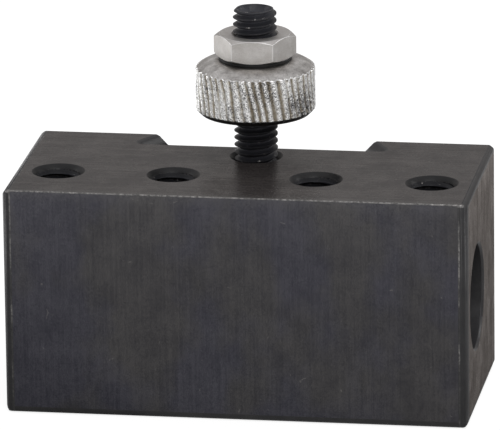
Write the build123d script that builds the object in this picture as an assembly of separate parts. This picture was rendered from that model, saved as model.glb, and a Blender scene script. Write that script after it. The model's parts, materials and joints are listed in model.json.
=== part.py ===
from build123d import *
import os
from math import degrees, radians, tan

# Boring-bar holder for a dovetail quick change tool post. All sizes are in millimetres.
# The origin is the centre of the block's bottom face. +X runs along the bore, +Y points to the
# back of the block, where the dovetail slot is, and +Z points up along the height stud.

# ---- Modelling aids ----
PAST = 1.0  # how far a cutting shape runs past the face it cuts

# ---- Block ----
BLOCK_LENGTH = 63.5
BLOCK_DEPTH = 29.5
BLOCK_HEIGHT = 31.6
FRONT_CORNER_RADIUS = 1.3
BACK_CORNER_RADIUS = 1.1
BOTTOM_END_RADIUS = 1.2
BOTTOM_LONG_RADIUS = 1.0
TOP_LEFT_RADIUS = 1.1
TOP_RIGHT_BEVEL = 0.8
TOP_RIGHT_BEVEL_HEIGHT = 0.38
TOP_RIGHT_RADIUS = 0.3
LONG_EDGE_RADIUS = 0.15

FRONT = -BLOCK_DEPTH / 2
BACK = BLOCK_DEPTH / 2
TOP = BLOCK_HEIGHT

# ---- Dovetail slot in the back: it fits over the dovetail of the tool post ----
DOVETAIL_MOUTH = 26.8
DOVETAIL_DEPTH = 5.2
DOVETAIL_ANGLE = 60.0
DOVETAIL_CORNER_RADIUS = 1.2
# The sides flare at the slot's ends: (depth into the slot, widening of each side there).
LEAD_IN = [(0.0, 2.0), (0.3, 1.5), (1.9, 0.0)]
SLOT_FLOOR = BACK - DOVETAIL_DEPTH

# ---- Bore for the boring bar ----
BORE_RADIUS = 7.15
BORE_RIM_CHAMFER = 0.3
BORE_Y = FRONT + 10.05
BORE_Z = TOP / 2

# ---- M6 thread, drawn as a plain cylinder at its major diameter ----
THREAD_RADIUS = 3.0
THREAD_CLEARANCE = 0.05
THREAD_END_CHAMFER = 0.55
TAPPED_RADIUS = THREAD_RADIUS + THREAD_CLEARANCE
COUNTERSINK_RADIUS = 3.65
SOCKET_FLATS = 3.0

# ---- Bar set screws, in a row over the bore ----
SCREW_X = [-25.65, -9.8, 9.8, 25.65]
SCREW_LENGTH = 6.0
SCREW_RECESS = 2.2
SCREW_SOCKET_DEPTH = 2.6
SCREW_CUP_RADIUS = 1.5
SCREW_CUP_DEPTH = 0.7

# ---- Height stud, and what rides on it; heights are above the block's top ----
STUD_Y = FRONT + 20.45
STUD_LENGTH = 30.0
STUD_ABOVE = 20.9
STUD_HOLE_SPARE = 1.0
STUD_SOCKET_DEPTH = 3.0

WHEEL_BOTTOM = TOP + 6.35
WHEEL_RADIUS = 8.2
WHEEL_BOTTOM_CHAMFER = 0.7
KNURL_TOP = WHEEL_BOTTOM + 6.3
KNURL_TEETH = 45
KNURL_DEPTH = 0.35
KNURL_ANGLE = 10.0
CROWN_RADIUS = 5.3
CROWN_HEIGHT = 1.15
CROWN_BULGE = 0.22  # how far the dome stands out of a straight cone

WASHER_RADIUS = 5.0
WASHER_THICKNESS = 0.45
WASHER_BOTTOM = KNURL_TOP + CROWN_HEIGHT

NUT_FLATS = 9.8
NUT_THICKNESS = 3.2
NUT_CHAMFER_ANGLE = 30.0
NUT_FACE_SHARE = 0.99
NUT_MOUTH_RADIUS = 3.25
NUT_TURN = 4.3
NUT_BOTTOM = WASHER_BOTTOM + WASHER_THICKNESS


def upright(radius, low, high, x=0, y=0):
    """A vertical cylinder from height low to height high."""
    return Pos(x, y, low) * Cylinder(radius, high - low, align=(Align.CENTER, Align.CENTER, Align.MIN))


def cone(bottom_radius, top_radius, low, high, x=0, y=0):
    """A vertical cone or countersink from height low to height high."""
    solid = Cone(bottom_radius, top_radius, high - low, align=(Align.CENTER, Align.CENTER, Align.MIN))
    return Pos(x, y, low) * solid


def hexagon(flats, low, high, x=0, y=0, turn=0):
    """A hexagonal prism; with no turn, two of its flats face along Y."""
    outline = RegularPolygon(flats / 2, 6, major_radius=False, rotation=0)
    return Pos(x, y, low) * Rot(0, 0, turn) * extrude(outline, high - low)


def threaded_rod(low, high, socket_depth, x, y):
    """A headless screw with chamfered ends and a hexagon socket in its top."""
    rod = chamfer(upright(THREAD_RADIUS, low, high, x, y).edges(), THREAD_END_CHAMFER)
    return rod - hexagon(SOCKET_FLATS, high - socket_depth, high + PAST, x, y)


def tapped_hole(bottom, x, y):
    """A hole from the block's top down to height bottom, with a countersunk mouth."""
    countersink_depth = COUNTERSINK_RADIUS - TAPPED_RADIUS
    mouth = cone(TAPPED_RADIUS, COUNTERSINK_RADIUS, TOP - countersink_depth, TOP, x, y)
    return upright(TAPPED_RADIUS, bottom, TOP + PAST, x, y) + mouth


def dovetail_outline(widening=0):
    """The slot's cross-section, with rounded inner corners, run a little past the block's back."""
    spread = DOVETAIL_DEPTH / tan(radians(DOVETAIL_ANGLE))
    slope = spread / DOVETAIL_DEPTH
    floor_half = DOVETAIL_MOUTH / 2 + spread + widening
    outer_half = DOVETAIL_MOUTH / 2 - PAST * slope + widening
    outline = Polygon(
        (-floor_half, SLOT_FLOOR),
        (floor_half, SLOT_FLOOR),
        (outer_half, BACK + PAST),
        (-outer_half, BACK + PAST),
        align=None,
    )
    return fillet(outline.vertices().group_by(Axis.Y)[0], DOVETAIL_CORNER_RADIUS)


def dovetail_slot():
    """The slot's space: an upright prism that flares sideways at its top and bottom ends."""
    slot = Pos(0, 0, -PAST) * extrude(dovetail_outline(), BLOCK_HEIGHT + 2 * PAST)
    for end, inwards in ((0, 1), (TOP, -1)):
        sections = [Pos(0, 0, end + inwards * depth) * dovetail_outline(wider) for depth, wider in LEAD_IN]
        for outer, inner in zip(sections, sections[1:]):
            slot += loft([outer, inner], ruled=True)
    return slot


def make_block():
    """A bar whose outline is rounded in all three views."""
    plan = Rectangle(BLOCK_LENGTH, BLOCK_DEPTH)
    plan = fillet(plan.vertices().group_by(Axis.Y)[0], FRONT_CORNER_RADIUS)
    plan = fillet(plan.vertices().group_by(Axis.Y)[-1], BACK_CORNER_RADIUS)

    half_length = BLOCK_LENGTH / 2
    front_view = Polygon(
        (-half_length, 0),
        (half_length, 0),
        (half_length, TOP - TOP_RIGHT_BEVEL_HEIGHT),
        (half_length - TOP_RIGHT_BEVEL, TOP),
        (-half_length, TOP),
        align=None,
    )
    front_view = fillet(front_view.vertices().group_by(Axis.Y)[-1].sort_by(Axis.X)[0], TOP_LEFT_RADIUS)
    bevel_ends = front_view.vertices().sort_by(Axis.X).filter_by(lambda corner: corner.Y > TOP / 2)[-2:]
    front_view = fillet(bevel_ends, TOP_RIGHT_RADIUS)
    front_view = fillet(front_view.vertices().group_by(Axis.Y)[0], BOTTOM_END_RADIUS)

    end_view = Pos(0, TOP / 2) * Rectangle(BLOCK_DEPTH, BLOCK_HEIGHT)
    end_view = fillet(end_view.vertices().group_by(Axis.Y)[0], BOTTOM_LONG_RADIUS)
    end_view = fillet(end_view.vertices().group_by(Axis.Y)[-1], LONG_EDGE_RADIUS)

    block = extrude(plan, BLOCK_HEIGHT)
    block &= extrude(Plane.XZ.offset(-BACK) * front_view, BLOCK_DEPTH)
    return block & extrude(Plane.YZ.offset(-half_length) * end_view, BLOCK_LENGTH)


def make_holder_body():
    body = make_block() - dovetail_slot()
    bore = Cylinder(BORE_RADIUS, BLOCK_LENGTH + 2 * PAST)
    body -= Pos(0, BORE_Y, BORE_Z) * Rot(0, 90, 0) * bore
    for end in (0, -1):
        end_face = body.faces().sort_by(Axis.X)[end]
        body = chamfer(end_face.edges().filter_by(GeomType.CIRCLE), BORE_RIM_CHAMFER)

    for x in SCREW_X:
        body -= tapped_hole(BORE_Z, x, BORE_Y)
    stud_hole_bottom = TOP + STUD_ABOVE - STUD_LENGTH - STUD_HOLE_SPARE
    return body - tapped_hole(stud_hole_bottom, 0, STUD_Y)


def make_set_screw(x):
    high = TOP - SCREW_RECESS
    low = high - SCREW_LENGTH
    screw = threaded_rod(low, high, SCREW_SOCKET_DEPTH, x, BORE_Y)
    cup = cone(SCREW_CUP_RADIUS, 0, low, low + SCREW_CUP_DEPTH, x, BORE_Y)
    return screw - cup


def make_height_stud():
    high = TOP + STUD_ABOVE
    return threaded_rod(high - STUD_LENGTH, high, STUD_SOCKET_DEPTH, 0, STUD_Y)


def knurl_outline():
    """The rim's cross-section: a ring of V-shaped ridges."""
    step = 360 / KNURL_TEETH / 2
    points = []
    for index in range(2 * KNURL_TEETH):
        radius = WHEEL_RADIUS if index % 2 == 0 else WHEEL_RADIUS - KNURL_DEPTH
        points.append(Vector(radius, 0, 0).rotate(Axis.Z, index * step))
    return Polyline(*points, close=True)


def make_crown():
    """The wheel's domed top, which ends in a flat ring under the washer."""
    rim = Vector(WHEEL_RADIUS - KNURL_DEPTH, KNURL_TOP)
    shoulder = Vector(CROWN_RADIUS, WASHER_BOTTOM)
    outwards = (shoulder - rim).rotate(Axis.Z, -90).normalized()
    dome = ThreePointArc(rim, (rim + shoulder) / 2 + outwards * CROWN_BULGE, shoulder)
    straight = Polyline(shoulder, (0, WASHER_BOTTOM), (0, KNURL_TOP), rim)
    return revolve(Plane.XZ * make_face(dome + straight), Axis.Z)


def make_thumb_wheel():
    knurl_length = KNURL_TOP - WHEEL_BOTTOM
    twist = degrees(knurl_length * tan(radians(KNURL_ANGLE)) / WHEEL_RADIUS)
    section = make_face(knurl_outline()).face()
    rim = Solid.extrude_linear_with_rotation(section, (0, 0, 0), (0, 0, knurl_length), -twist)
    rim = Pos(0, STUD_Y, WHEEL_BOTTOM) * rim

    chamfer_top = WHEEL_BOTTOM + WHEEL_BOTTOM_CHAMFER
    underside_radius = WHEEL_RADIUS - WHEEL_BOTTOM_CHAMFER
    limit = cone(underside_radius, WHEEL_RADIUS, WHEEL_BOTTOM, chamfer_top, 0, STUD_Y)
    limit += upright(WHEEL_RADIUS + PAST, chamfer_top, KNURL_TOP, 0, STUD_Y)
    hole = upright(TAPPED_RADIUS, WHEEL_BOTTOM - PAST, WASHER_BOTTOM + PAST, 0, STUD_Y)
    return (rim & limit) + Pos(0, STUD_Y, 0) * make_crown() - hole


def make_stud_washer():
    high = WASHER_BOTTOM + WASHER_THICKNESS
    disc = upright(WASHER_RADIUS, WASHER_BOTTOM, high, 0, STUD_Y)
    return disc - upright(TAPPED_RADIUS, WASHER_BOTTOM - PAST, high + PAST, 0, STUD_Y)


def make_lock_nut():
    high = NUT_BOTTOM + NUT_THICKNESS
    middle = (NUT_BOTTOM + high) / 2
    face_radius = NUT_FLATS / 2 * NUT_FACE_SHARE
    waist_radius = face_radius + NUT_THICKNESS / 2 / tan(radians(NUT_CHAMFER_ANGLE))
    upper_limit = cone(waist_radius, face_radius, middle, high, 0, STUD_Y)
    lower_limit = cone(face_radius, waist_radius, NUT_BOTTOM, middle, 0, STUD_Y)
    blank = hexagon(NUT_FLATS, NUT_BOTTOM, high, 0, STUD_Y, NUT_TURN) & (upper_limit + lower_limit)

    countersink_depth = NUT_MOUTH_RADIUS - TAPPED_RADIUS
    upper_mouth = cone(TAPPED_RADIUS, NUT_MOUTH_RADIUS, high - countersink_depth, high, 0, STUD_Y)
    lower_mouth = cone(NUT_MOUTH_RADIUS, TAPPED_RADIUS, NUT_BOTTOM, NUT_BOTTOM + countersink_depth, 0, STUD_Y)
    return blank - upright(TAPPED_RADIUS, NUT_BOTTOM, high, 0, STUD_Y) - upper_mouth - lower_mouth


os.makedirs("parts", exist_ok=True)
nodes = {
    "holder_body": make_holder_body(),
    "height_stud": make_height_stud(),
    "thumb_wheel": make_thumb_wheel(),
    "stud_washer": make_stud_washer(),
    "lock_nut": make_lock_nut(),
}
for number, screw_x in enumerate(SCREW_X, start=1):
    nodes[f"set_screw_{number}"] = make_set_screw(screw_x)

for name, solid in nodes.items():
    export_step(solid, f"parts/{name}.step")
    box = solid.bounding_box()
    print(name, round(solid.volume, 2), box.min, box.max, solid.is_valid)
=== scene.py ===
"""Looks for a boring-bar holder of a quick change tool post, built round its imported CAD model.

Everything is in metres in the CAD frame: +X along the bore, +Y towards the dovetail, +Z up.
"""

import json
import math

import bmesh
import bpy
from mathutils import Matrix, Vector, noise


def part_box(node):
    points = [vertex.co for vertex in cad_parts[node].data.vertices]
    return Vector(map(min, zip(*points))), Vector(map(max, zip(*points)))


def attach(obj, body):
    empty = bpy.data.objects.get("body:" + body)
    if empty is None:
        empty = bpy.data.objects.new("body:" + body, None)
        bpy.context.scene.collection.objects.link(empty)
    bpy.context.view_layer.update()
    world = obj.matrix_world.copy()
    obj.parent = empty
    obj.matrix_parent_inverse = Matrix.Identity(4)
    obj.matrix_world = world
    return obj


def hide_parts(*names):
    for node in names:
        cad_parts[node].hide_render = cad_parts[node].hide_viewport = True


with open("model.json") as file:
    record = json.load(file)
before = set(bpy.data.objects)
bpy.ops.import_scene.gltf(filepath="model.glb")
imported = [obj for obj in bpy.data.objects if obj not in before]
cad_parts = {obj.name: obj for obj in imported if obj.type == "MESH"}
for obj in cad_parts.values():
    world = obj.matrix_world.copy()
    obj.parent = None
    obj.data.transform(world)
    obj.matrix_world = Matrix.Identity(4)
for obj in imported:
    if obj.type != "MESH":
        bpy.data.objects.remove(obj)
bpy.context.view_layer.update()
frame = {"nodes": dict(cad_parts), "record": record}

MM = 0.001
TURN = 2 * math.pi
MERGE = 0.0005 * MM  # points nearer than this are one point

# ---- Places and sizes read from the frame ----
BLOCK_LOW, BLOCK_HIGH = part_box("holder_body")
STUD_LOW, STUD_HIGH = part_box("height_stud")
WHEEL_LOW, WHEEL_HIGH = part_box("thumb_wheel")
WASHER_LOW, WASHER_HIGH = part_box("stud_washer")
NUT_LOW, NUT_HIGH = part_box("lock_nut")
TOP = BLOCK_HIGH.z
STUD_CENTRE = (STUD_LOW + STUD_HIGH) / 2
WHEEL_RADIUS = (WHEEL_HIGH.x - WHEEL_LOW.x) / 2
MOUNTS = {mount["name"]: mount for mount in frame["record"]["mounts"]}
BORE_RADIUS = MOUNTS["bar_bore"]["dims"]["r_mm"] * MM
BORE_Y, BORE_Z = MOUNTS["bar_bore"]["pos_m"][1:]
SCREWS = [f"set_screw_{number}" for number in range(1, 5)]
SCREW_CENTRES = [(sum(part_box(node), Vector()) / 2).xy for node in SCREWS]
HOLE_CENTRES = [*SCREW_CENTRES, STUD_CENTRE.xy]

# ---- Block ----
FLAT_ANGLE = math.radians(0.5)  # faces that meet at less than this are one flat face
BORE_RIM = 0.35 * MM  # from the bore's wall to just outside its chamfer
COUNTERSINK_RADIUS = 3.66 * MM  # from a hole's axis to just outside its countersink
COUNTERSINK_DEPTH = 0.6 * MM
COUNTERSINK_ZONE = 0.7 * MM  # a hole's faces whose middle is less deep than this are its countersink
TOP_SKIN = 0.002 * MM  # a face nearer to the top than this is the top face itself
RIM_BEVEL = 0.06 * MM
RIM_ANGLE = math.radians(25)
WORN_LINE = 30.62 * MM  # from the block's middle to the worn line on each upright edge
ALONG_AXIS = 0.999  # a face looks along an axis when that part of its normal is larger than this
FLANK_NORMAL = math.sin(math.radians(60))  # the X part of a dovetail flank's normal
FLANK_LEEWAY = 0.005

# ---- M6 x 1 thread ----
PITCH = 1.0 * MM
THREAD_CREST = 2.985 * MM
THREAD_ROOT = 2.34 * MM
NUT_THREAD_CREST = 2.50 * MM
NUT_THREAD_ROOT = 3.02 * MM
SLEEVE_MOUTH = NUT_THREAD_ROOT + 0.01 * MM
SLEEVE_RADIUS = 3.045 * MM
CREST_FLAT = 1 / 16  # half of the flat on a crest, as a share of the pitch
GROOVE_PLAY = 0.02  # how much wider a nut's groove is on each side, as a share of the pitch
FLANK_SLOPE = math.sqrt(3)  # radial drop per axial distance on a 60 degree thread
ROOT_ROUNDING = 0.03 * MM
THREAD_START = 0.18 * MM  # height above the block's top of a crest at angle 0
THREAD_COLUMNS = 96
THREAD_LINES = 20
THREAD_SHARP = 40

# ---- Ends of the stud and of the set screws ----
SOCKET_FLATS = 3.0 * MM
SOCKET_POINT = 0.5 * MM  # depth of the cone under the hexagon
END_RIM = 0.2 * MM  # width of the flat ring round the dish
DISH_EDGE = 0.08 * MM
DISH_EDGE_SHARE = 0.3  # depth of the dish's steep edge as a share of the whole dish
TIP_HOLLOW = 0.45  # depth of the hollow tip as a share of its radius

# ---- Thumb wheel ----
KNURL_RIDGES = 45
KNURL_DEPTH = 0.36 * MM
KNURL_SLANT = math.radians(10)
KNURL_STEPS = 18  # columns of points to a ridge
KNURL_ROWS = 84
KNURL_COLUMNS = KNURL_RIDGES * KNURL_STEPS
RIDGE_WANDER = 0.3
VALLEY_SHARPNESS = 1.7
TEAR_DEPTH = 0.05 * MM
PIT_DEPTH = 0.2 * MM
WHEEL_CHAMFER = 0.7 * MM
WHEEL_MOUTH = 3.6 * MM
CROWN_RADIUS = 5.3 * MM
CROWN_HEIGHT = 1.15 * MM
CROWN_ROUNDNESS = 1.9
CROWN_STEPS = 12
CROWN_LIP = 0.05 * MM
CROWN_INSET = 0.25 * MM  # from the ridges' valleys to the crown's outermost round ring
CROWN_FLAT = 0.3 * MM
KNURL_TOP = WHEEL_HIGH.z - CROWN_HEIGHT

# ---- Washer ----
WASHER_ROUNDING = 0.08 * MM
WASHER_COLUMNS = 128

# ---- Lock nut ----
NUT_CHAMFER = math.tan(math.radians(30))
NUT_MOUTH = 3.25 * MM
NUT_TURN = math.radians(4.3)
NUT_COLUMNS = 192
NUT_FLATS = 9.8 * MM
NUT_FACE_SHARE = 0.99  # radius of the flat face as a share of half the width across flats
NUT_BEVEL = 0.14 * MM
NUT_BEVEL_ANGLE = math.radians(18)


# ---------------------------------------------------------------- mesh building

class Shell:
    """A closed surface, built from rings of points round an upright axis and then merged.

    Each point has a relief, from 0 in a valley to 1 on a crest, which the materials read.
    """

    def __init__(self, centre):
        self.mesh = bmesh.new()
        self.relief = self.mesh.verts.layers.float.new("relief")
        self.centre = centre

    def point(self, radius, angle, height, relief=0.0):
        x = self.centre[0] + radius * math.cos(angle)
        y = self.centre[1] + radius * math.sin(angle)
        vertex = self.mesh.verts.new((x, y, height))
        vertex[self.relief] = relief
        return vertex

    def face(self, corners, material=0):
        made = self.mesh.faces.new(corners)
        made.material_index = material

    def stack(self, rings, material=0):
        """Joins rings, each a list of (radius, angle, height, relief) with the same length."""
        made = [[self.point(*spot) for spot in ring] for ring in rings]
        for lower, upper in zip(made, made[1:]):
            for index in range(len(lower)):
                after = (index + 1) % len(lower)
                self.face((lower[index], lower[after], upper[after], upper[index]), material)

    def fan(self, ring, height):
        """Closes a ring with a point on the axis."""
        middle = self.point(0, 0, height)
        made = [self.point(*spot) for spot in ring]
        for index, vertex in enumerate(made):
            self.face((vertex, made[(index + 1) % len(made)], middle))

    def finish(self, name, materials, sharp, merge=0.0006 * MM):
        bmesh.ops.remove_doubles(self.mesh, verts=self.mesh.verts, dist=merge)
        bmesh.ops.dissolve_degenerate(self.mesh, edges=self.mesh.edges, dist=merge / 4)
        bmesh.ops.recalc_face_normals(self.mesh, faces=self.mesh.faces)
        return finish_mesh(self.mesh, name, materials, sharp)


def finish_mesh(mesh, name, materials, sharp):
    """Turns a bmesh into a smooth-shaded object whose edges stay sharp above an angle in degrees."""
    data = bpy.data.meshes.new(name)
    mesh.to_mesh(data)
    mesh.free()
    for material in materials:
        data.materials.append(material)
    data.shade_smooth()
    data.set_sharp_from_angle(angle=math.radians(sharp))
    piece = bpy.data.objects.new(name, data)
    bpy.context.scene.collection.objects.link(piece)
    return piece


def flatten_shading(piece):
    """Lets each large face keep its own flat normal, so that only the bevels round off."""
    modifier = piece.modifiers.new("flat_faces", "WEIGHTED_NORMAL")
    modifier.weight = 100
    modifier.keep_sharp = True


def ring(radius, height, columns):
    """A level ring; radius is a number or a function of the angle."""
    spots = []
    for index in range(columns):
        angle = TURN * index / columns
        size = radius(angle) if callable(radius) else radius
        spots.append((size, angle, height, 0.0))
    return spots


def hexagon_radius(angle, flats, turn=0.0):
    """Distance from a hexagon's middle to its outline; a flat faces the front when turn is 0."""
    sixth = TURN / 6
    off_flat = (angle - turn + TURN / 4 + sixth / 2) % sixth - sixth / 2
    return flats / 2 / math.cos(off_flat)


# ---------------------------------------------------------------- threads

def outer_thread_radius(phase):
    """Radius of a screw's thread, with its crest at phase 0.5 and its rounded root at phase 0."""
    depth = max(abs(phase - 0.5) - CREST_FLAT, 0) * PITCH * FLANK_SLOPE
    above_root = THREAD_CREST - depth - THREAD_ROOT
    soft = THREAD_ROOT + math.log1p(math.exp(above_root / ROOT_ROUNDING)) * ROOT_ROUNDING
    return min(soft, THREAD_CREST)


def inner_thread_radius(phase):
    """Radius of a hole's thread, whose groove takes a screw's crest at phase 0.5."""
    depth = max(abs(phase - 0.5) - (CREST_FLAT + GROOVE_PLAY), 0) * PITCH * FLANK_SLOPE
    return max(NUT_THREAD_ROOT - depth, NUT_THREAD_CREST)


def thread_phase(share, height, start):
    """Where a point lies across the thread: 0 at the root, 0.5 at the crest. share is angle / turn."""
    return ((height - start) / PITCH + 0.5 - share) % 1.0


def add_thread(shell, low, high, radius_at, start):
    """Adds a right-hand helical surface that ends in level rings at low and high.

    radius_at(phase, height) gives the radius; start is the height of a crest at angle 0.
    """
    first = math.floor((low - start) / PITCH) - 2
    turns = math.ceil((high - low) / PITCH) + 5
    grid = []
    for line in range(turns * THREAD_LINES):
        row = []
        for column in range(THREAD_COLUMNS):
            share = column / THREAD_COLUMNS
            rise = start + (first + line / THREAD_LINES - 0.5 + share) * PITCH
            height = min(max(rise, low), high)
            radius = radius_at(thread_phase(share, height, start), height)
            relief = (radius - THREAD_ROOT) / (THREAD_CREST - THREAD_ROOT)
            row.append(shell.point(radius, TURN * share, height, relief))
        grid.append(row)
    for line in range(len(grid) - 1 - THREAD_LINES):
        for column in range(THREAD_COLUMNS):
            corners = [grid[line][column], grid[line + 1][column]]
            if column + 1 < THREAD_COLUMNS:
                corners += [grid[line + 1][column + 1], grid[line][column + 1]]
            else:
                corners += [grid[line + 1 + THREAD_LINES][0], grid[line + THREAD_LINES][0]]
            shell.face(corners)


def thread_end(radius_at, height, start):
    """The outline of a thread where it is cut off level at a height."""
    spots = []
    for column in range(THREAD_COLUMNS):
        share = column / THREAD_COLUMNS
        spots.append((radius_at(thread_phase(share, height, start), height), TURN * share, height, 0.0))
    return spots


def threaded_rod(name, low, high, centre, end_radius, dish, socket_depth, tip_radius):
    """A headless screw: helical thread, chamfered ends, hexagon socket in a dish, hollow tip."""
    shell = Shell(centre)
    start = TOP + THREAD_START

    def radius_at(phase, height):
        from_end = min(height - low, high - height)
        return min(outer_thread_radius(phase), end_radius + from_end)

    def socket(angle):
        return hexagon_radius(angle, SOCKET_FLATS)

    add_thread(shell, low, high, radius_at, start)
    dish_radius = end_radius - END_RIM
    shell.stack([
        thread_end(radius_at, high, start),
        ring(dish_radius, high, THREAD_COLUMNS),
        ring(dish_radius - DISH_EDGE, high - dish * DISH_EDGE_SHARE, THREAD_COLUMNS),
        ring(socket, high - dish, THREAD_COLUMNS),
        ring(socket, high - socket_depth, THREAD_COLUMNS),
    ])
    shell.fan(ring(socket, high - socket_depth, THREAD_COLUMNS), high - socket_depth - SOCKET_POINT)
    shell.stack([thread_end(radius_at, low, start), ring(tip_radius, low, THREAD_COLUMNS)])
    shell.fan(ring(tip_radius, low, THREAD_COLUMNS), low + tip_radius * TIP_HOLLOW)
    return shell.finish(name, [THREAD], THREAD_SHARP)


def threaded_sleeve(name, low, high, centre, material, low_mouth=True):
    """The tapped wall of a hole: helical thread inside, a plain skin behind it.

    The thread runs out into a widened mouth at the top, and at the bottom where low_mouth is set.
    """
    shell = Shell(centre)

    def radius_at(phase, height):
        radius = max(inner_thread_radius(phase), SLEEVE_MOUTH - (high - height))
        if low_mouth:
            radius = max(radius, SLEEVE_MOUTH - (height - low))
        return min(radius, SLEEVE_MOUTH)

    add_thread(shell, low, high, radius_at, TOP + THREAD_START)
    shell.stack([
        ring(SLEEVE_MOUTH, low, THREAD_COLUMNS),
        ring(SLEEVE_RADIUS, low, THREAD_COLUMNS),
        ring(SLEEVE_RADIUS, high, THREAD_COLUMNS),
        ring(SLEEVE_MOUTH, high, THREAD_COLUMNS),
    ])
    return shell.finish(name, [material], THREAD_SHARP)


# ---------------------------------------------------------------- shader helpers

def new_material(name):
    """A material with its node tree and its shader node."""
    material = bpy.data.materials.new(name)
    material.use_nodes = True
    tree = material.node_tree
    return material, tree, tree.nodes["Principled BSDF"]


def add(tree, kind, settings=None, **inputs):
    """Makes a shader node. inputs are values or the sockets that feed it.

    An input is named as Blender names it, or i0, i1 and so on by its place.
    """
    made = tree.nodes.new(kind)
    for key, value in (settings or {}).items():
        setattr(made, key, value)
    for key, value in inputs.items():
        by_place = key[0] == "i" and key[1:].isdigit()
        socket = made.inputs[int(key[1:]) if by_place else key]
        if isinstance(value, bpy.types.NodeSocket):
            tree.links.new(value, socket)
        else:
            socket.default_value = value
    return made


def maths(tree, operation, first, second=0.0, third=0.0):
    return add(tree, "ShaderNodeMath", {"operation": operation}, i0=first, i1=second, i2=third).outputs[0]


def remap(tree, value, from_low, from_high, to_low, to_high):
    """Maps a value from one range to another, clamped at both ends."""
    made = add(tree, "ShaderNodeMapRange", None, i0=value, i1=from_low, i2=from_high, i3=to_low, i4=to_high)
    return made.outputs[0]


def weighted(tree, *parts):
    """The sum of (value, weight) pairs."""
    total = maths(tree, "MULTIPLY", parts[0][0], parts[0][1])
    for value, weight in parts[1:]:
        total = maths(tree, "MULTIPLY_ADD", value, weight, total)
    return total


def vector_maths(tree, operation, **inputs):
    """The outputs of a vector sum: the vector is the first and a number is called Value."""
    return add(tree, "ShaderNodeVectorMath", {"operation": operation}, **inputs).outputs


def split(tree, place):
    """The X, Y and Z parts of a vector."""
    return add(tree, "ShaderNodeSeparateXYZ", None, i0=place).outputs


def millimetres(tree):
    """The surface point in the object's own frame, in millimetres."""
    place = add(tree, "ShaderNodeTexCoord").outputs["Object"]
    return vector_maths(tree, "SCALE", i0=place, Scale=1 / MM)[0]


def stretched(tree, place, x, y, z):
    """A place scaled along each axis. Noise read there is drawn out where the scale is small."""
    return vector_maths(tree, "MULTIPLY", i0=place, i1=(x, y, z))[0]


def noise_at(tree, place, scale, detail=3.0, roughness=0.55):
    """Soft noise round 0.5, with scale as the number of its largest blots to a millimetre."""
    made = add(tree, "ShaderNodeTexNoise", None, Vector=place, Scale=scale, Detail=detail,
               Roughness=roughness)
    return made.outputs["Fac"]


def mix_colour(tree, factor, first, second):
    made = add(tree, "ShaderNodeMix", {"data_type": "RGBA"}, i0=factor, i6=first, i7=second)
    return made.outputs[2]


def mix_value(tree, factor, first, second):
    return add(tree, "ShaderNodeMix", {"data_type": "FLOAT"}, i0=factor, i2=first, i3=second).outputs[0]


def bump(tree, height, strength, distance, normal=None):
    """A bent normal, for a surface whose height from 0 to 1 stands for a distance in metres."""
    made = add(tree, "ShaderNodeBump", None, Height=height, Strength=strength, Distance=distance)
    if normal is not None:
        tree.links.new(normal, made.inputs["Normal"])
    return made.outputs[0]


def relief_of(tree):
    """A point's relief: 0 in a valley and 1 on a crest."""
    return add(tree, "ShaderNodeAttribute", {"attribute_name": "relief"}).outputs["Fac"]


def axis_share(tree, component):
    """1 where the surface faces along one axis, 0 where it faces away from it."""
    return remap(tree, maths(tree, "ABSOLUTE", component), 0.75, 0.9, 0.0, 1.0)


def grey(level, warmth=0.0):
    """A grey, with red raised and blue lowered by its warmth."""
    return (level * (1 + warmth), level, level * (1 - warmth), 1.0)


# ---------------------------------------------------------------- colours

# The dark and the light end of a mottled tone.
BLUISH_COAT = ((0.021, 0.021, 0.031, 1), (0.056, 0.055, 0.068, 1))
BROWNISH_COAT = ((0.025, 0.024, 0.026, 1), (0.062, 0.059, 0.058, 1))
LEVEL_COAT = ((0.021, 0.018, 0.018, 1), (0.055, 0.049, 0.047, 1))
# The end faces' coat is lighter and browner: painted light, as on ends that catch the light.
END_COAT_PAINTED_LIGHT = ((0.060, 0.054, 0.050, 1), (0.098, 0.089, 0.083, 1))
KNURL_METAL = ((0.46, 0.41, 0.33, 1), (1.0, 1.0, 0.99, 1))

# Where a coat is rubbed thin, scratched or lost, and the light colour of glints painted on threads.
RUBBED_COAT = (0.11, 0.107, 0.104, 1)
SCRATCHED_COAT = (0.2, 0.19, 0.18, 1)
WORN_STEEL = (0.5, 0.485, 0.47, 1)
RUBBED_CREST = (0.13, 0.12, 0.12, 1)
# Light spots on threads: painted glints.
PAINTED_GLINT_STEEL = (0.5, 0.48, 0.46, 1)
KNURL_PIT = (0.10, 0.10, 0.11, 1)

WHITE = (1, 1, 1, 1)


# ---------------------------------------------------------------- materials

def scratch_marks(tree, place):
    """Short, thin, pale scratches scattered at random."""
    bend = add(tree, "ShaderNodeTexNoise", None, Vector=place, Scale=0.35).outputs["Color"]
    bent = vector_maths(tree, "MULTIPLY_ADD", i0=bend, i1=(2, 2, 2), i2=place)[0]
    cells = add(tree, "ShaderNodeTexVoronoi", {"feature": "DISTANCE_TO_EDGE"}, Vector=bent, Scale=0.16)
    line = remap(tree, cells.outputs["Distance"], 0.0, 0.010, 1.0, 0.0)
    pieces = remap(tree, noise_at(tree, place, 0.8, 2.0), 0.66, 0.70, 0.0, 0.7)
    return maths(tree, "MULTIPLY", line, pieces)


def top_front_edge(tree, place, reach):
    """1 at the block's top front edge, falling to 0 at a distance from it."""
    parts = split(tree, place)
    below = maths(tree, "SUBTRACT", TOP / MM, parts[2])
    behind = maths(tree, "SUBTRACT", parts[1], BLOCK_LOW.y / MM)
    return remap(tree, maths(tree, "MAXIMUM", below, behind), 0.0, reach, 1.0, 0.0)


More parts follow.
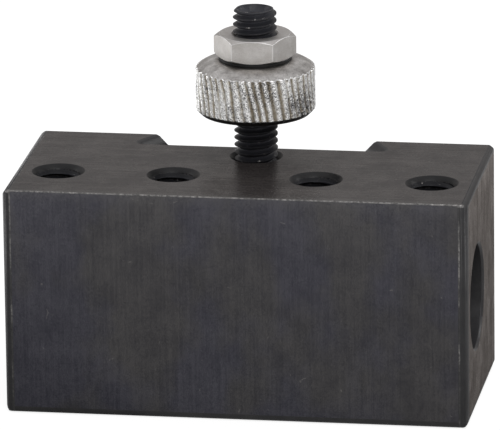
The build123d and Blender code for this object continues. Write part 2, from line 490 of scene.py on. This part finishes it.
def black_oxide_ground(name, tint, metal=0.0, fineness=3.2):
    """Ground steel with a black-oxide coat: directional lines, soft stains and a few scratches.

    The lines stand upright, and run level on the top; fineness sets how close the upright ones are.
    """
    material, tree, shader = new_material(name)
    place = millimetres(tree)
    normal = split(tree, add(tree, "ShaderNodeTexCoord").outputs["Normal"])
    faces_end = axis_share(tree, normal[0])
    faces_front = axis_share(tree, normal[1])
    faces_up = axis_share(tree, normal[2])

    upright_lines = noise_at(tree, stretched(tree, place, fineness, fineness, 0.09), 1.0, 5.0, 0.72)
    level_lines = noise_at(tree, stretched(tree, place, 0.08, 4.0, 4.0), 1.0, 5.0, 0.72)
    lines = mix_value(tree, faces_up, upright_lines, level_lines)
    clouds = noise_at(tree, place, 0.30, 5.0, 0.65)
    hue = noise_at(tree, stretched(tree, place, 1.0, 1.0, 0.7), 0.11, 3.0, 0.5)
    grain = noise_at(tree, place, 4.5, 3.0, 0.7)
    spots = remap(tree, grain, 0.35, 0.65, 0.2, 1.0)
    rubbed = maths(tree, "MULTIPLY", top_front_edge(tree, place, 1.7), spots)

    tone = weighted(tree, (lines, 0.30), (clouds, 0.32), (grain, 0.38))
    tone = remap(tree, tone, 0.41, 0.59, 0.0, 1.0)
    bluish = mix_colour(tree, tone, *BLUISH_COAT)
    brownish = mix_colour(tree, tone, *BROWNISH_COAT)
    front = mix_colour(tree, remap(tree, hue, 0.42, 0.58, 0.0, 1.0), bluish, brownish)
    level = mix_colour(tree, tone, *LEVEL_COAT)
    # End faces get the lighter coat: painted light.
    end = mix_colour(tree, tone, *END_COAT_PAINTED_LIGHT)
    coat = mix_colour(tree, faces_front, mix_colour(tree, faces_end, level, end), front)
    coat = mix_colour(tree, maths(tree, "MULTIPLY", rubbed, 0.45), coat, RUBBED_COAT)
    coat = mix_colour(tree, scratch_marks(tree, place), coat, SCRATCHED_COAT)
    tree.links.new(coat, shader.inputs["Base Color"])

    shader.inputs["Specular IOR Level"].default_value = 0.43
    shader.inputs["Specular Tint"].default_value = tint
    shader.inputs["Metallic"].default_value = metal
    dark_roughness = 0.34 + 0.15 * metal
    tree.links.new(remap(tree, tone, 0.0, 1.0, dark_roughness, 0.22), shader.inputs["Roughness"])
    shader.inputs["Anisotropic"].default_value = 0.6
    faces_elsewhere = maths(tree, "SUBTRACT", 1.0, faces_front)
    across = add(tree, "ShaderNodeCombineXYZ", None, i0=faces_front, i1=faces_elsewhere)
    tree.links.new(across.outputs[0], shader.inputs["Tangent"])
    fine = bump(tree, lines, 0.35, 0.04 * MM)
    tree.links.new(bump(tree, grain, 0.3, 0.03 * MM, fine), shader.inputs["Normal"])
    return material


def worn_amount(tree, place):
    """How far the coat is lost: along the top front edge, and in pieces down the upright edges."""
    edge = remap(tree, top_front_edge(tree, place, 0.5), 0.1, 0.5, 0.0, 1.0)
    spots = remap(tree, noise_at(tree, place, 2.4, 4.0, 0.75), 0.42, 0.72, 0.15, 1.0)
    from_middle = maths(tree, "ABSOLUTE", split(tree, place)[0])
    from_line = maths(tree, "ABSOLUTE", maths(tree, "SUBTRACT", from_middle, WORN_LINE / MM))
    line = remap(tree, from_line, 0.05, 0.16, 1.0, 0.0)
    tall_clouds = noise_at(tree, stretched(tree, place, 1.0, 1.0, 0.16), 1.0, 2.0)
    pieces = remap(tree, tall_clouds, 0.50, 0.62, 0.1, 0.8)
    broken_line = maths(tree, "MULTIPLY", line, pieces)
    return maths(tree, "MULTIPLY", maths(tree, "MAXIMUM", edge, broken_line), spots)


def black_oxide_matt(name, level, gloss, worn=False):
    """Black-oxide coat that was never ground, on edges and in holes; worn adds where it is lost."""
    material, tree, shader = new_material(name)
    place = millimetres(tree)
    clouds = noise_at(tree, place, 0.5, 4.0, 0.6)
    grain = noise_at(tree, place, 5.5, 3.0, 0.7)
    tone = remap(tree, weighted(tree, (clouds, 0.5), (grain, 0.5)), 0.35, 0.65, 0.0, 1.0)
    dark = (level * 0.7, level * 0.7, level * 0.76, 1)
    light = (level * 1.3, level * 1.27, level * 1.3, 1)
    coat = mix_colour(tree, tone, dark, light)
    if worn:
        amount = worn_amount(tree, place)
        coat = mix_colour(tree, amount, coat, WORN_STEEL)
        tree.links.new(maths(tree, "MULTIPLY", amount, 0.6), shader.inputs["Metallic"])
    tree.links.new(coat, shader.inputs["Base Color"])
    shader.inputs["Specular IOR Level"].default_value = gloss
    tree.links.new(remap(tree, grain, 0.35, 0.65, 0.28, 0.44), shader.inputs["Roughness"])
    tree.links.new(bump(tree, grain, 0.35, 0.03 * MM), shader.inputs["Normal"])
    return material


def black_oxide_thread(name, level, gloss):
    """Cut thread with an oily black-oxide coat, rubbed on its crests, with painted fill light in its roots
    and a few painted glints.
    """
    material, tree, shader = new_material(name)
    place = millimetres(tree)
    relief = relief_of(tree)
    specks = noise_at(tree, place, 3.0, 4.0, 0.65)
    dark = (level * 0.95, level * 0.97, level * 1.15, 1)
    # Low relief gets a lighter colour than high relief: painted fill light in a screw's thread roots, and
    # painted shade in the grooves of a tapped wall.
    deep = (level * 2.4, level * 2.45, level * 2.9, 1)
    coat = mix_colour(tree, remap(tree, relief, 0.0, 0.6, 0.0, 1.0), deep, dark)
    rubbed = remap(tree, weighted(tree, (relief, 1.0), (specks, 0.7)), 1.38, 1.55, 0.0, 1.0)
    coat = mix_colour(tree, rubbed, coat, RUBBED_CREST)
    # Scattered light spots: painted glints.
    painted_glints = remap(tree, noise_at(tree, place, 1.6, 4.0, 0.7), 0.66, 0.70, 0.0, 1.0)
    tree.links.new(mix_colour(tree, painted_glints, coat, PAINTED_GLINT_STEEL), shader.inputs["Base Color"])
    shader.inputs["Specular IOR Level"].default_value = gloss
    tree.links.new(mix_value(tree, specks, 0.28, 0.50), shader.inputs["Roughness"])
    tree.links.new(bump(tree, specks, 0.6, 0.06 * MM), shader.inputs["Normal"])
    return material


def knurled_steel(name):
    """Coarsely knurled bright steel: torn, speckled ridges with darker valleys."""
    material, tree, shader = new_material(name)
    place = millimetres(tree)
    torn = noise_at(tree, stretched(tree, place, 1.0, 1.0, 0.7), 4.5, 4.0, 0.72)
    pits = noise_at(tree, place, 5.0, 3.0, 0.65)
    patches = noise_at(tree, place, 0.23, 2.0, 0.5)
    crest = remap(tree, weighted(tree, (relief_of(tree), 1.0), (torn, 0.9)), 0.78, 1.25, 0.0, 1.0)
    metal = mix_colour(tree, crest, *KNURL_METAL)
    clean = remap(tree, weighted(tree, (pits, 1.0), (patches, 0.6)), 0.64, 0.75, 0.0, 1.0)
    tree.links.new(mix_colour(tree, clean, KNURL_PIT, metal), shader.inputs["Base Color"])
    shader.inputs["Metallic"].default_value = 1.0
    tree.links.new(mix_value(tree, crest, 0.5, 0.26), shader.inputs["Roughness"])
    rough = bump(tree, torn, 0.7, 0.10 * MM)
    tree.links.new(bump(tree, pits, 0.5, 0.06 * MM, rough), shader.inputs["Normal"])
    return material


def turned_steel(name, base):
    """Steel turned on a lathe: fine rings round the axis, a little stained."""
    material, tree, shader = new_material(name)
    place = millimetres(tree)
    centre = (STUD_CENTRE.x / MM, STUD_CENTRE.y / MM, 0.0)
    offset = vector_maths(tree, "SUBTRACT", i0=place, i1=centre)[0]
    radius = vector_maths(tree, "LENGTH", i0=stretched(tree, offset, 1.0, 1.0, 0.0))["Value"]
    along_radius = add(tree, "ShaderNodeCombineXYZ", None, i0=radius).outputs[0]
    rings = noise_at(tree, along_radius, 9.0, 4.0, 0.7)
    stains = noise_at(tree, place, 0.6, 4.0, 0.65)
    specks = noise_at(tree, place, 5.0, 3.0, 0.7)
    tone = weighted(tree, (rings, 0.3), (stains, 0.45), (specks, 0.25))
    tone = remap(tree, tone, 0.40, 0.60, 0.0, 1.0)
    metal = mix_colour(tree, tone, grey(base * 0.5, 0.06), grey(base * 1.3, 0.03))
    tree.links.new(metal, shader.inputs["Base Color"])
    shader.inputs["Metallic"].default_value = 1.0
    shader.inputs["Anisotropic"].default_value = 0.65
    tangent = add(tree, "ShaderNodeTangent", {"direction_type": "RADIAL", "axis": "Z"})
    tree.links.new(tangent.outputs[0], shader.inputs["Tangent"])
    tree.links.new(mix_value(tree, specks, 0.38, 0.52), shader.inputs["Roughness"])
    tree.links.new(bump(tree, rings, 0.35, 0.02 * MM), shader.inputs["Normal"])
    return material


def plain_steel(name, base):
    """Plain satin steel, faintly speckled."""
    material, tree, shader = new_material(name)
    place = millimetres(tree)
    clouds = noise_at(tree, place, 0.7, 4.0, 0.6)
    specks = noise_at(tree, place, 6.0, 4.0, 0.7)
    tone = remap(tree, weighted(tree, (clouds, 0.5), (specks, 0.5)), 0.38, 0.62, 0.0, 1.0)
    metal = mix_colour(tree, tone, grey(base * 0.85, 0.05), grey(base * 1.12, 0.03))
    tree.links.new(metal, shader.inputs["Base Color"])
    shader.inputs["Metallic"].default_value = 1.0
    tree.links.new(mix_value(tree, specks, 0.42, 0.58), shader.inputs["Roughness"])
    tree.links.new(bump(tree, specks, 0.4, 0.03 * MM), shader.inputs["Normal"])
    return material


def painted_highlight_edge(name):
    """Steel painted nearly white for edges: painted highlight lines along bevels and the wheel's lip."""
    material, tree, shader = new_material(name)
    specks = noise_at(tree, millimetres(tree), 4.0, 3.0, 0.6)
    tree.links.new(mix_colour(tree, specks, grey(0.85, 0.01), grey(1.0)), shader.inputs["Base Color"])
    shader.inputs["Metallic"].default_value = 1.0
    shader.inputs["Roughness"].default_value = 0.28
    return material


def black_satin(name):
    """The thin black washer's even coat."""
    material, tree, shader = new_material(name)
    specks = noise_at(tree, millimetres(tree), 3.0, 4.0, 0.6)
    tree.links.new(mix_colour(tree, specks, grey(0.006), grey(0.013)), shader.inputs["Base Color"])
    shader.inputs["Specular IOR Level"].default_value = 0.25
    tree.links.new(mix_value(tree, specks, 0.4, 0.6), shader.inputs["Roughness"])
    return material


OXIDE = black_oxide_ground("black_oxide_ground", (0.96, 0.95, 1.0, 1))
OXIDE_TOP = black_oxide_ground("black_oxide_ground_top", (1.0, 0.94, 0.92, 1))
# Lighter, metallic, browner copy for the end faces: painted light.
OXIDE_END_PAINTED_LIGHT = black_oxide_ground("black_oxide_ground_end", (1.0, 0.93, 0.89, 1), metal=1.0, fineness=1.5)
EDGE = black_oxide_matt("worn_block_edge", level=0.030, gloss=0.32, worn=True)
HOLE = black_oxide_matt("black_oxide_hole", level=0.036, gloss=0.38)
# Darker coat for the countersinks: painted shade in the hole mouths.
COUNTERSINK = black_oxide_matt("black_oxide_countersink", level=0.019, gloss=0.2)
THREAD = black_oxide_thread("black_oxide_thread", level=0.020, gloss=0.25)
# Darker thread coat for the tapped holes: painted shade down in the holes.
TAPPED = black_oxide_thread("black_oxide_tapped", level=0.012, gloss=0.15)
KNURL = knurled_steel("knurled_steel")
TURNED = turned_steel("turned_steel", base=0.50)
# Darkened turned steel for the wheel's bottom chamfer: painted shade on its downward face.
TURNED_PAINTED_SHADE = turned_steel("turned_steel_dark", base=0.10)
STEEL = plain_steel("plain_steel", base=0.55)
# Near-white edge steel: painted highlight lines.
PAINTED_HIGHLIGHT = painted_highlight_edge("bright_steel_edge")
SATIN = black_satin("black_satin")


# ---------------------------------------------------------------- pieces

def is_in_hole(middle):
    """Whether a point of the block's surface is in one of its round holes."""
    if math.hypot(middle.y - BORE_Y, middle.z - BORE_Z) < BORE_RADIUS + BORE_RIM:
        return True
    return any(math.hypot(middle.x - x, middle.y - y) < COUNTERSINK_RADIUS for x, y in HOLE_CENTRES)


def coat_of(face):
    """The coat on one face of the block, from its place and from the way it faces."""
    middle = face.calc_center_median()
    across, back, up = (abs(part) for part in face.normal)
    if across > ALONG_AXIS:
        return OXIDE_END_PAINTED_LIGHT
    if is_in_hole(middle) and middle.z < TOP - TOP_SKIN:
        return COUNTERSINK if middle.z > TOP - COUNTERSINK_ZONE else HOLE
    is_flank = abs(across - FLANK_NORMAL) < FLANK_LEEWAY and up < FLANK_LEEWAY
    if max(across, back, up) < ALONG_AXIS and not is_flank:
        return EDGE
    return OXIDE_TOP if up > ALONG_AXIS else OXIDE


def make_block():
    """The CAD's own block, with a coat for each kind of face and softened rims on its holes."""
    coats = [OXIDE, EDGE, HOLE, OXIDE_END_PAINTED_LIGHT, COUNTERSINK, OXIDE_TOP]
    mesh = bmesh.new()
    mesh.from_mesh(frame["nodes"]["holder_body"].data)
    bmesh.ops.remove_doubles(mesh, verts=mesh.verts, dist=MERGE)
    bmesh.ops.dissolve_limit(mesh, angle_limit=FLAT_ANGLE, verts=mesh.verts, edges=mesh.edges)
    for face in mesh.faces:
        face.material_index = coats.index(coat_of(face))

    def is_rim(edge):
        beside_hole = any(coats[face.material_index] in (HOLE, COUNTERSINK) for face in edge.link_faces)
        return edge.is_manifold and beside_hole and edge.calc_face_angle(0) > RIM_ANGLE

    rims = [edge for edge in mesh.edges if is_rim(edge)]
    bmesh.ops.bevel(mesh, geom=rims, offset=RIM_BEVEL, segments=2, profile=0.5, affect="EDGES",
                    clamp_overlap=False, material=-1)
    bmesh.ops.recalc_face_normals(mesh, faces=mesh.faces)
    block = finish_mesh(mesh, "block", coats, sharp=40)
    flatten_shading(block)
    return block


def place_block():
    block = make_block()
    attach(block, "holder")
    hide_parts("holder_body")


def place_tapped_walls():
    """Threaded walls of the four clamping holes and of the stud's hole."""
    bore_top = BORE_Z + BORE_RADIUS
    wall_top = TOP - COUNTERSINK_DEPTH
    for number, centre in enumerate(SCREW_CENTRES, start=1):
        wall = threaded_sleeve(f"tapped_wall_{number}", bore_top, wall_top, centre, TAPPED, low_mouth=False)
        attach(wall, "holder")
    wall = threaded_sleeve("tapped_wall_stud", STUD_LOW.z, wall_top, STUD_CENTRE.xy, TAPPED)
    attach(wall, "holder")


def place_stud():
    stud = threaded_rod("stud", STUD_LOW.z, STUD_HIGH.z, STUD_CENTRE.xy, end_radius=2.55 * MM,
                        dish=0.95 * MM, socket_depth=3.0 * MM, tip_radius=1.0 * MM)
    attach(stud, "holder")
    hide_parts("height_stud")


def place_set_screws():
    for number, (node, centre) in enumerate(zip(SCREWS, SCREW_CENTRES), start=1):
        low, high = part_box(node)
        screw = threaded_rod(f"clamp_screw_{number}", low.z, high.z, centre, end_radius=2.5 * MM,
                             dish=0.25 * MM, socket_depth=2.6 * MM, tip_radius=1.5 * MM)
        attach(screw, f"{node}_body")
        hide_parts(node)


def knurl_radius(angle, height):
    """The rim's radius: slanted round ridges of uneven height, torn and pitted all over."""
    x = WHEEL_RADIUS * math.cos(angle) / MM
    y = WHEEL_RADIUS * math.sin(angle) / MM
    z = height / MM
    wander = RIDGE_WANDER * noise.noise((x * 0.45, y * 0.45, z * 0.2))
    ridge = angle * KNURL_RIDGES / TURN + wander
    valley = abs(2 * (ridge - round(ridge))) ** VALLEY_SHARPNESS
    groove = math.floor(ridge) % KNURL_RIDGES
    uneven = 0.5 + 0.6 * noise.noise((groove * 7.31, z * 0.15, 2.0))
    torn = noise.fractal((x * 2.6, y * 2.6, z * 1.7), 0.5, 2.0, 3)
    pits = max(noise.noise((x * 4.2 + 9, y * 4.2, z * 3.4)) - 0.28, 0)
    lost = KNURL_DEPTH * valley * max(0.2 + 1.2 * uneven, 0.1)
    lost += TEAR_DEPTH * max(0.3 - torn, 0) + PIT_DEPTH * pits
    return WHEEL_RADIUS - lost


def crown_rise(radius):
    """How far the domed crown stands above the top of the ridges at a radius."""
    share = max(radius - CROWN_RADIUS, 0) / (WHEEL_RADIUS - CROWN_RADIUS)
    return CROWN_HEIGHT * (1 - share ** CROWN_ROUNDNESS)


def knurl_turn(height):
    """How far the slanted ridges have turned at a height."""
    return (height - WHEEL_LOW.z) * math.tan(KNURL_SLANT) / WHEEL_RADIUS


def knurl_ring(height, inset=0.0, on_crown=False):
    """The ridged rim's outline at a height, cut back by the bottom chamfer."""
    turn = knurl_turn(height)
    limit = WHEEL_RADIUS - WHEEL_CHAMFER + (height - WHEEL_LOW.z)
    spots = []
    for column in range(KNURL_COLUMNS):
        angle = TURN * column / KNURL_COLUMNS
        radius = knurl_radius(angle, height) - inset
        relief = 1 - (WHEEL_RADIUS - inset - radius) / KNURL_DEPTH
        radius = min(radius, limit)
        rise = crown_rise(radius) if on_crown else 0.0
        spots.append((radius, angle - turn, height + rise, relief))
    return spots


def turned_ring(radius, height, turn):
    """A round ring with a point below or beside each point of the ridged rim."""
    return [(radius, TURN * column / KNURL_COLUMNS - turn, height, 1.0) for column in range(KNURL_COLUMNS)]


def make_wheel():
    """The thumb wheel without its thread: chamfer with painted shade, ridges, lip painted bright as a
    highlight, domed crown and plain hole.
    """
    coats = [KNURL, TURNED, PAINTED_HIGHLIGHT, TURNED_PAINTED_SHADE]
    low, high = WHEEL_LOW.z, WHEEL_HIGH.z
    mouth = WHEEL_MOUTH - SLEEVE_RADIUS
    top_turn = knurl_turn(KNURL_TOP)
    shell = Shell(STUD_CENTRE.xy)

    rows = []
    for row in range(KNURL_ROWS + 1):
        rows.append(knurl_ring(low + (KNURL_TOP - low) * (row / KNURL_ROWS)))
    chamfer_rows = round(WHEEL_CHAMFER / (KNURL_TOP - low) * KNURL_ROWS)
    # The bottom chamfer is darkened: painted shade.
    shell.stack(rows[:chamfer_rows + 1], coats.index(TURNED_PAINTED_SHADE))
    shell.stack(rows[chamfer_rows:], coats.index(KNURL))

    lip = knurl_ring(KNURL_TOP, CROWN_LIP, on_crown=True)
    # The lip round the ridges' top is painted bright: a painted highlight.
    shell.stack([rows[-1], lip], coats.index(PAINTED_HIGHLIGHT))

    crown_start = WHEEL_RADIUS - KNURL_DEPTH - CROWN_INSET
    crown = [lip]
    for step in range(CROWN_STEPS + 1):
        radius = crown_start + (CROWN_RADIUS - crown_start) * step / CROWN_STEPS
        crown.append(turned_ring(radius, KNURL_TOP + crown_rise(radius), top_turn))
    hole_top = turned_ring(SLEEVE_RADIUS, high - mouth, top_turn)
    crown.append(turned_ring(CROWN_RADIUS - CROWN_FLAT, high, top_turn))
    crown.append(turned_ring(WHEEL_MOUTH, high, top_turn))
    crown.append(hole_top)
    shell.stack(crown, coats.index(TURNED))

    shell.stack([
        hole_top,
        turned_ring(SLEEVE_RADIUS, low + mouth, 0.0),
        turned_ring(WHEEL_MOUTH, low, 0.0),
        rows[0],
    ], coats.index(TURNED))
    return shell.finish("knurled_wheel", coats, sharp=38, merge=0.0003 * MM)


def place_wheel():
    wheel = make_wheel()
    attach(wheel, "wheel")
    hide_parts("thumb_wheel")
    mouth = WHEEL_MOUTH - SLEEVE_RADIUS
    low, high = WHEEL_LOW.z + mouth, WHEEL_HIGH.z - mouth
    sleeve = threaded_sleeve("wheel_thread", low, high, STUD_CENTRE.xy, STEEL)
    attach(sleeve, "wheel")


def place_washer():
    low, high = WASHER_LOW.z, WASHER_HIGH.z
    inner = SLEEVE_RADIUS
    outer = (WASHER_HIGH.x - WASHER_LOW.x) / 2
    soft = WASHER_ROUNDING
    shoulder = soft * 0.3
    outline = [
        (inner, low),
        (outer - soft, low),
        (outer - shoulder, low + shoulder),
        (outer, low + soft),
        (outer, high - soft),
        (outer - shoulder, high - shoulder),
        (outer - soft, high),
        (inner, high),
        (inner, low),
    ]
    shell = Shell(STUD_CENTRE.xy)
    shell.stack([ring(radius, height, WASHER_COLUMNS) for radius, height in outline])
    washer = shell.finish("black_washer", [SATIN], sharp=35)
    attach(washer, "washer")
    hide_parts("stud_washer")


def make_nut():
    """The thin hexagon nut without its thread, chamfered on both faces, with softened edges painted bright
    as highlight lines.
    """
    coats = [STEEL, PAINTED_HIGHLIGHT]
    low, high = NUT_LOW.z, NUT_HIGH.z
    mouth = NUT_MOUTH - SLEEVE_RADIUS
    face_radius = NUT_FLATS / 2 * NUT_FACE_SHARE
    angles = [NUT_TURN + TURN * column / NUT_COLUMNS for column in range(NUT_COLUMNS)]
    shell = Shell(STUD_CENTRE.xy)

    def side(angle):
        return hexagon_radius(angle, NUT_FLATS, NUT_TURN)

    def drop(angle):
        return (side(angle) - face_radius) * NUT_CHAMFER

    def level(radius, height):
        return [(radius, angle, height, 0.0) for angle in angles]

    shell.stack([
        level(SLEEVE_RADIUS, low + mouth),
        level(NUT_MOUTH, low),
        level(face_radius, low),
        [(side(angle), angle, low + drop(angle), 0.0) for angle in angles],
        [(side(angle), angle, high - drop(angle), 0.0) for angle in angles],
        level(face_radius, high),
        level(NUT_MOUTH, high),
        level(SLEEVE_RADIUS, high - mouth),
        level(SLEEVE_RADIUS, low + mouth),
    ])
    bmesh.ops.remove_doubles(shell.mesh, verts=shell.mesh.verts, dist=MERGE)
    bmesh.ops.recalc_face_normals(shell.mesh, faces=shell.mesh.faces)
    edges = [edge for edge in shell.mesh.edges if edge.calc_face_angle(0) > NUT_BEVEL_ANGLE]
    # The bevelled edges get the near-white steel: painted highlight lines.
    bmesh.ops.bevel(shell.mesh, geom=edges, offset=NUT_BEVEL, segments=2, profile=0.55, affect="EDGES",
                    clamp_overlap=True, material=coats.index(PAINTED_HIGHLIGHT))
    nut = shell.finish("jam_nut", coats, sharp=35)
    flatten_shading(nut)
    return nut


def place_nut():
    nut = make_nut()
    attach(nut, "nut")
    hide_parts("lock_nut")
    mouth = NUT_MOUTH - SLEEVE_RADIUS
    low, high = NUT_LOW.z + mouth, NUT_HIGH.z - mouth
    sleeve = threaded_sleeve("nut_thread", low, high, STUD_CENTRE.xy, STEEL)
    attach(sleeve, "nut")


place_block()
place_tapped_walls()
place_stud()
place_set_screws()
place_wheel()
place_washer()
place_nut()


# ---------------------------------------------------------------- stage, light and camera

FLOOR_SIZE = 4.0
# The directions in which the floor is darker, each with the cosine where that starts.
FLOOR_SHADES = (((-0.88, -0.48, 0.0), 0.84), ((0.78, 0.62, 0.0), 0.50))
# The directions in which the room is darker.
WORLD_SHADES = ((-0.83, -0.55, 0.0), (0.94, 0.34, 0.0))
ROOM_LOW = (0.34, 0.325, 0.315, 1)
ROOM_CEILING = (0.85, 0.85, 0.87, 1)
ROOM_DARK = (0.05, 0.05, 0.05, 1)
CAMERA_PLACE = (0.16600, -1.03288, 0.33648)
CAMERA_AZIMUTH = math.radians(9.134)
CAMERA_ELEVATION = math.radians(16.59)
CAMERA_ROLL = math.radians(-0.721)


def make_floor():
    """A pale table that the camera sees overexposed.

    The object sees it darker close by, as in its own shade, and towards the left front and right back.
    """
    mesh = bmesh.new()
    bmesh.ops.create_grid(mesh, x_segments=1, y_segments=1, size=FLOOR_SIZE)
    floor = finish_mesh(mesh, "floor", [], sharp=30)
    material, tree, shader = new_material("pale_floor")
    shader.inputs["Base Color"].default_value = grey(0.3)
    shader.inputs["Roughness"].default_value = 0.9
    shader.inputs["Specular IOR Level"].default_value = 0.0
    shader.inputs["Emission Color"].default_value = WHITE
    place = add(tree, "ShaderNodeTexCoord").outputs["Object"]
    distance = vector_maths(tree, "LENGTH", i0=place)["Value"]
    thrown = remap(tree, distance, 0.09, 0.15, 0.30, 0.95)
    direction = vector_maths(tree, "NORMALIZE", i0=place)[0]
    for side, reach in FLOOR_SHADES:
        turned = vector_maths(tree, "DOT_PRODUCT", i0=direction, i1=side)["Value"]
        shade = remap(tree, turned, reach, reach + 0.13, 1.0, 0.45)
        thrown = maths(tree, "MULTIPLY", thrown, shade)
    seen = add(tree, "ShaderNodeLightPath").outputs["Is Camera Ray"]
    tree.links.new(mix_value(tree, seen, thrown, 0.85), shader.inputs["Emission Strength"])
    floor.data.materials.append(material)


def make_world():
    """A warm grey room, lighter towards its ceiling and darker to its left and right.

    The camera sees it white where it looks past the table.
    """
    world = bpy.data.worlds.new("studio")
    bpy.context.scene.world = world
    world.use_nodes = True
    tree = world.node_tree
    direction = add(tree, "ShaderNodeTexCoord").outputs["Generated"]
    share = remap(tree, split(tree, direction)[2], 0.25, 0.95, 0.0, 1.0)
    room = mix_colour(tree, share, ROOM_LOW, ROOM_CEILING)
    for side in WORLD_SHADES:
        turned = vector_maths(tree, "DOT_PRODUCT", i0=direction, i1=side)["Value"]
        room = mix_colour(tree, remap(tree, turned, 0.55, 0.92, 0.0, 0.75), room, ROOM_DARK)
    seen = add(tree, "ShaderNodeLightPath").outputs["Is Camera Ray"]
    tree.links.new(mix_colour(tree, seen, room, WHITE), tree.nodes["Background"].inputs["Color"])
    tree.nodes["Background"].inputs["Strength"].default_value = 1.0


def make_light(name, place, aim, size, power):
    """A rectangular soft light; size is its width and height in metres, power is in watts."""
    data = bpy.data.lights.new(name, "AREA")
    data.shape = "RECTANGLE"
    data.size = size[0]
    data.size_y = size[1]
    data.energy = power
    light = bpy.data.objects.new(name, data)
    light.location = place
    light.rotation_euler = (Vector(aim) - Vector(place)).to_track_quat("-Z", "Y").to_euler()
    bpy.context.scene.collection.objects.link(light)


def make_camera():
    """A long lens from the front, a little to the right and above."""
    azimuth, elevation, roll = CAMERA_AZIMUTH, CAMERA_ELEVATION, CAMERA_ROLL
    forward = Vector((-math.sin(azimuth) * math.cos(elevation), math.cos(azimuth) * math.cos(elevation),
                      -math.sin(elevation)))
    level = Vector((math.cos(azimuth), math.sin(azimuth), 0))
    up = level.cross(forward)
    right = math.cos(roll) * level + math.sin(roll) * up
    above = -math.sin(roll) * level + math.cos(roll) * up
    data = bpy.data.cameras.new("camera")
    data.sensor_width = 36
    data.lens = 576
    data.clip_start = 0.05
    camera = bpy.data.objects.new("camera", data)
    axes = Matrix((right, above, -forward)).transposed().to_4x4()
    camera.matrix_world = Matrix.Translation(CAMERA_PLACE) @ axes
    bpy.context.scene.collection.objects.link(camera)
    bpy.context.scene.camera = camera


make_floor()
make_world()
make_light("key", place=(0.30, -0.60, 0.75), aim=(0, 0, 0.03), size=(0.45, 0.35), power=2.2)
make_light("left", place=(-0.60, 0.08, 0.20), aim=(0, 0, 0.04), size=(0.20, 0.40), power=0.6)
make_light("right", place=(0.65, 0.35, 0.35), aim=(0, 0, 0.04), size=(0.25, 0.35), power=0.9)
make_camera()
bpy.context.scene.view_settings.view_transform = "Standard"
